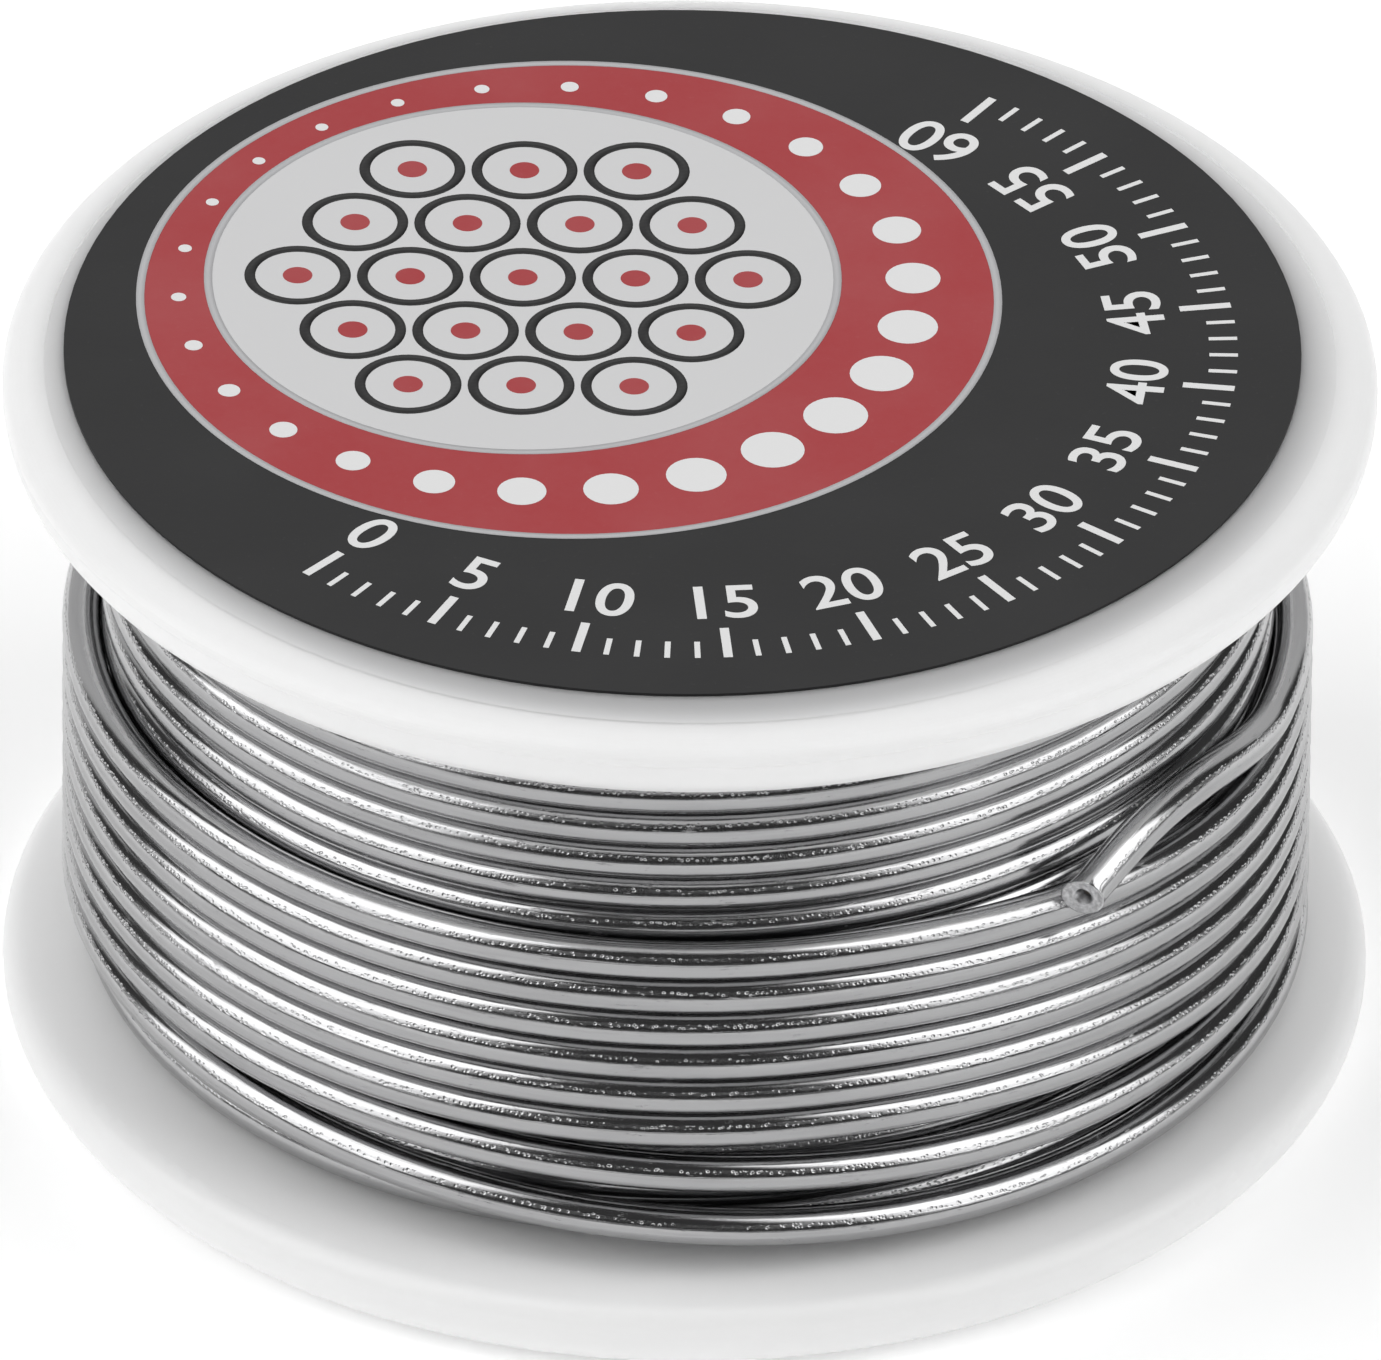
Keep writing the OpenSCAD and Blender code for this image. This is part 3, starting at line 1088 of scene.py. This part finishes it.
@dataclass
class Label:
    """The round paper label and its print. Places are from its own middle, +Y to the back."""

    low: Vector
    high: Vector
    red_centre: tuple[float, float] = (-4.4 * MM, 3.4 * MM)
    red_r: float = 16.4 * MM
    pale_centre: tuple[float, float] = (-6.2 * MM, 4.8 * MM)
    pale_r: float = 12.0 * MM
    outline: float = 0.32 * MM
    disc_sides: int = 144
    bundle_rows: int = 5
    wire_ring_d: float = 3.7 * MM
    wire_ring_line: float = 0.42 * MM
    wire_ring_pitch: float = 4.35 * MM
    wire_ring_sides: int = 48
    core_dot_d: float = 1.15 * MM
    dial_start: float = 228.0
    dial_sweep: float = 188.0
    dial_r: float = 21.4 * MM
    dial_count: int = 60
    major_every: int = 5
    minor_tick: tuple[float, float] = (1.1 * MM, 0.22 * MM)
    major_tick: tuple[float, float] = (2.0 * MM, 0.352 * MM)
    figure_r: float = 17.75 * MM
    figure_h: float = 2.2 * MM
    figure_share: float = 0.7
    figure_swell: float = 0.03 * MM
    bead_count: int = 26
    bead_d: tuple[float, float] = (0.5 * MM, 2.5 * MM)
    bead_growth: float = 1.5
    ink_t: float = 0.004 * MM
    weld: float = 1e-7

    white_ink: bpy.types.Material = field(init=False)
    charcoal_ink: bpy.types.Material = field(init=False)
    red_ink: bpy.types.Material = field(init=False)
    charcoal: Finish = PrintedPaper((0.006, 0.006, 0.0065), unevenness=0.02)
    red: Finish = PrintedPaper((0.385, 0.022, 0.028))
    pale: Finish = PrintedPaper((0.665, 0.665, 0.67), unevenness=0.05)
    white: Finish = PrintedPaper((0.80, 0.80, 0.80), unevenness=0.05)
    silver: Finish = PrintedPaper((0.50, 0.50, 0.51), unevenness=0.05)

    def build(self) -> None:
        """Dresses the label and prints it, from the lowest ink to the highest."""
        dress_node("paper_label", surface("charcoal_print", self.charcoal), "label_paper")
        self.white_ink = surface("white_print", self.white)
        self.charcoal_ink = surface("charcoal_ink", self.charcoal)
        self.red_ink = surface("red_print", self.red)
        silver_ink = surface("silver_print", self.silver)
        discs = (
            ("red_disc", self.red_centre, self.red_r, self.red_ink),
            ("pale_disc", self.pale_centre, self.pale_r, surface("pale_print", self.pale)),
        )
        for i, (_, centre, r, _) in enumerate(discs):
            ring = {"Size": 2 * r + self.outline, "Line": self.outline}
            self._marks(f"outline_{i}", Mark.RING, [Spot(*centre)], 4, silver_ink, ring, self.disc_sides)
        for i, (name, centre, r, ink) in enumerate(discs):
            self._marks(name, Mark.DOT, [Spot(*centre)], i + 1, ink, {"Size": 2 * r}, self.disc_sides)
        self._wire_section()
        self._beads()
        self._ticks()
        self._figures()

    def _above(self, place: tuple[float, float], rise: float) -> Vector:
        """Point over a place on the label, in the spool's frame."""
        middle = (self.low + self.high) / 2
        return Vector((middle.x + place[0], middle.y + place[1], self.high.z + rise))

    def _marks(
        self,
        name: str,
        mark: Mark,
        spots: Sequence[Spot],
        layer: int,
        ink: bpy.types.Material,
        sizes: dict[str, float],
        sides: int = 32,
    ) -> None:
        """Prints one field of marks.

        Args:
            name: The piece's name.
            mark: The marks' shape.
            spots: Their places on the label.
            layer: How many inks lie under their upper face.
            ink: Their material.
            sizes: The mark's size and, on a ring, its line.
            sides: Corners of a round mark.
        """
        depth = self.ink_t * (layer + 1)
        middle = self._above((0.0, 0.0), self.ink_t * layer - depth / 2)
        carrier = marks_mesh(f"{name}_spots", spots, middle)
        piece = PrintedMarks(mark, sides).run(name, carrier, {**sizes, "Depth": depth, "Material": ink})
        hand_over(piece, "label_paper")

    def _wire_section(self) -> None:
        """Prints the pale disc's pattern: a bundle of round sections with a core each."""
        places = []
        reach = self.bundle_rows // 2
        for row in range(-reach, reach + 1):
            count = self.bundle_rows - abs(row)
            for i in range(count):
                along = (i - (count - 1) / 2) * self.wire_ring_pitch
                across = row * self.wire_ring_pitch * math.sin(math.radians(60))
                places.append(Spot(self.pale_centre[0] + along, self.pale_centre[1] + across))
        ring = {"Size": self.wire_ring_d, "Line": self.wire_ring_line}
        ink, sides = self.charcoal_ink, self.wire_ring_sides
        self._marks("section_rings", Mark.RING, places, 3, ink, ring, sides)
        self._marks("section_cores", Mark.DOT, places, 3, self.red_ink, {"Size": self.core_dot_d})

    def _beads(self) -> None:
        """Prints white dots round the red crescent, larger where it is wider."""
        (red_x, red_y), (pale_x, pale_y) = self.red_centre, self.pale_centre
        widest = math.atan2(red_y - pale_y, red_x - pale_x)
        middle_r = (self.red_r + self.pale_r) / 2
        spots = []
        for i in range(self.bead_count):
            angle = widest + math.tau * i / self.bead_count
            share = (1 + math.cos(angle - widest)) / 2
            size = self.bead_d[0] + (self.bead_d[1] - self.bead_d[0]) * share**self.bead_growth
            x = (red_x + pale_x) / 2 + middle_r * math.cos(angle)
            y = (red_y + pale_y) / 2 + middle_r * math.sin(angle)
            spots.append(Spot(x, y, 0.0, size / MM, size / MM))
        self._marks("crescent_dots", Mark.DOT, spots, 3, self.white_ink, {"Size": MM})

    def _dial_angle(self, number: int) -> float:
        """Angle of a number on the dial, from +X towards +Y."""
        return math.radians(self.dial_start + self.dial_sweep * number / self.dial_count)

    def _ticks(self) -> None:
        """Prints the dial's ticks."""
        spots = []
        for number in range(self.dial_count + 1):
            angle = self._dial_angle(number)
            major = number % self.major_every == 0
            length, width = self.major_tick if major else self.minor_tick
            r = self.dial_r - length / 2
            place = (r * math.cos(angle), r * math.sin(angle))
            spots.append(Spot(*place, angle, length / MM, width / MM))
        self._marks("dial_ticks", Mark.BAR, spots, 2, self.white_ink, {"Size": MM})

    def _figures(self) -> None:
        """Prints the dial's numbers, with their feet to the rim."""
        bm = bmesh.new()
        for number in range(0, self.dial_count + 1, self.major_every):
            angle = self._dial_angle(number)
            text = bpy.data.curves.new("figure", "FONT")
            text.body = str(number)
            text.size = self.figure_h / self.figure_share
            text.align_x, text.align_y = "CENTER", "CENTER"
            text.offset = self.figure_swell
            text.extrude = self.ink_t
            holder = placed("figure", text)
            mesh = bpy.data.meshes.new_from_object(
                holder.evaluated_get(bpy.context.evaluated_depsgraph_get())
            )
            place = (self.figure_r * math.cos(angle), self.figure_r * math.sin(angle))
            turn = Matrix.Rotation(angle + math.pi / 2, 4, "Z")
            mesh.transform(Matrix.Translation(self._above(place, self.ink_t)) @ turn)
            bm.from_mesh(mesh)
            bpy.data.objects.remove(holder)
        bmesh.ops.remove_doubles(bm, verts=bm.verts, dist=self.weld)
        bmesh.ops.recalc_face_normals(bm, faces=bm.faces)
        mesh = bpy.data.meshes.new("dial_numbers")
        bm.to_mesh(mesh)
        bm.free()
        mesh.materials.append(self.white_ink)
        hand_over(placed("dial_numbers", mesh), "label_paper")


# ---- stage


@dataclass
class Studio:
    """Floor, lights and camera."""

    frame_px: tuple[int, int] = (1381, 1360)
    px_per_m: float = 25830.0
    distance: float = 1.60
    elevation: float = 34.0
    roll: float = 0.55
    aim: tuple[float, float, float] = (0.13 * MM, 0.0, 14.57 * MM)
    sensor: float = 36.0
    clip_end: float = 20.0
    floor_half: float = 6.0

    # The room's lights: azimuths from the front and heights in degrees, and levels. The overhead
    # one's half width and middle_soft count along X, on a sphere of radius 1.
    edge: float = 2.5
    middle_soft: float = 0.05
    side_from: float = 41.0
    side_full: float = 56.0
    side_slant: float = 0.2
    side_to: float = 107.0
    right_gap: float = 10.0
    side_low: float = 12.0
    side_level: float = 2.2
    over_from: float = 97.0
    over_half: float = 0.55
    over_low: float = 40.0
    over_level: float = 0.45
    wall_from: float = 129.0
    wall_level: float = 0.60
    dark_level: float = 0.05

    def build(self) -> None:
        """Builds the stage."""
        scene = bpy.context.scene
        scene.view_settings.view_transform = "Standard"
        self._camera()
        self._floor()
        self._room()

    def _camera(self) -> None:
        """Places the camera."""
        data = bpy.data.cameras.new("camera")
        data.sensor_width = self.sensor
        data.lens = self.px_per_m * self.distance * self.sensor / self.frame_px[0]
        data.clip_end = self.clip_end
        camera = placed("camera", data)
        lift = math.radians(self.elevation)
        back = Vector((0, -math.cos(lift), math.sin(lift)))
        turn = back.to_track_quat("Z", "Y").to_matrix().to_4x4()
        roll = Matrix.Rotation(math.radians(self.roll), 4, "Z")
        camera.matrix_world = Matrix.Translation(Vector(self.aim) + back * self.distance) @ turn @ roll
        bpy.context.scene.camera = camera

    def _floor(self) -> None:
        """Lays the floor."""
        mesh = bpy.data.meshes.new("floor")
        half = self.floor_half
        corner_points = [(-half, -half, 0), (half, -half, 0), (half, half, 0), (-half, half, 0)]
        mesh.from_pydata(corner_points, [], [(0, 1, 2, 3)])
        mesh.materials.append(surface("floor", PlainSheet()))
        placed("floor", mesh)

    def _room(self) -> None:
        """Lights the room: two tall softboxes at the sides, one behind overhead, grey walls behind.

        Between the softboxes the front stays dark, which draws the dark band down bright metal. So do
        the gaps between them and the walls, of which the right one is wider.
        """
        world = bpy.data.worlds.new("room")
        world.use_nodes = True
        graph = Graph(world.node_tree)
        x, y, z = graph.split(graph.node("ShaderNodeTexCoord", None, None, "Generated"))
        azimuth = x.maths("ARCTAN2", y * -1.0).maths("ABSOLUTE") * math.degrees(1.0)
        height = z.maths("ARCSINE") * math.degrees(1.0)
        pitch = z.maths("ARCTAN2", y * -1.0) * math.degrees(1.0)
        wider = x.past(0.0, self.middle_soft) * self.right_gap
        side = (azimuth + height * self.side_slant).ramp(self.side_from, self.side_full)
        side = side * (azimuth + wider).past(self.side_to, -self.edge)
        side = side * height.past(self.side_low, self.edge)
        over = pitch.past(self.over_from, self.edge)
        over = over * x.maths("ABSOLUTE").past(self.over_half, -self.middle_soft)
        over = over * height.past(self.over_low, self.edge)
        walls = (azimuth - wider).past(self.wall_from, self.edge)
        light = (
            (side * self.side_level)
            .maths("MAXIMUM", over * self.over_level)
            .maths("MAXIMUM", walls * self.wall_level)
            .maths("MAXIMUM", self.dark_level)
        )
        shader = graph.node("ShaderNodeBackground", None, {"Color": (1, 1, 1, 1), "Strength": light})
        graph.node("ShaderNodeOutputWorld", None, {"Surface": shader})
        bpy.context.scene.world = world


def main() -> None:
    """Builds the sub-assemblies in order."""
    logging.basicConfig(level=logging.INFO, format="%(name)s %(message)s")
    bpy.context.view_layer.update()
    Studio().build()
    SpoolHalves().build()
    Label(*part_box("paper_label")).build()
    Winding(WireRoute(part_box("upper_half")[1].z)).build()


if __name__ == "__main__":
    main()
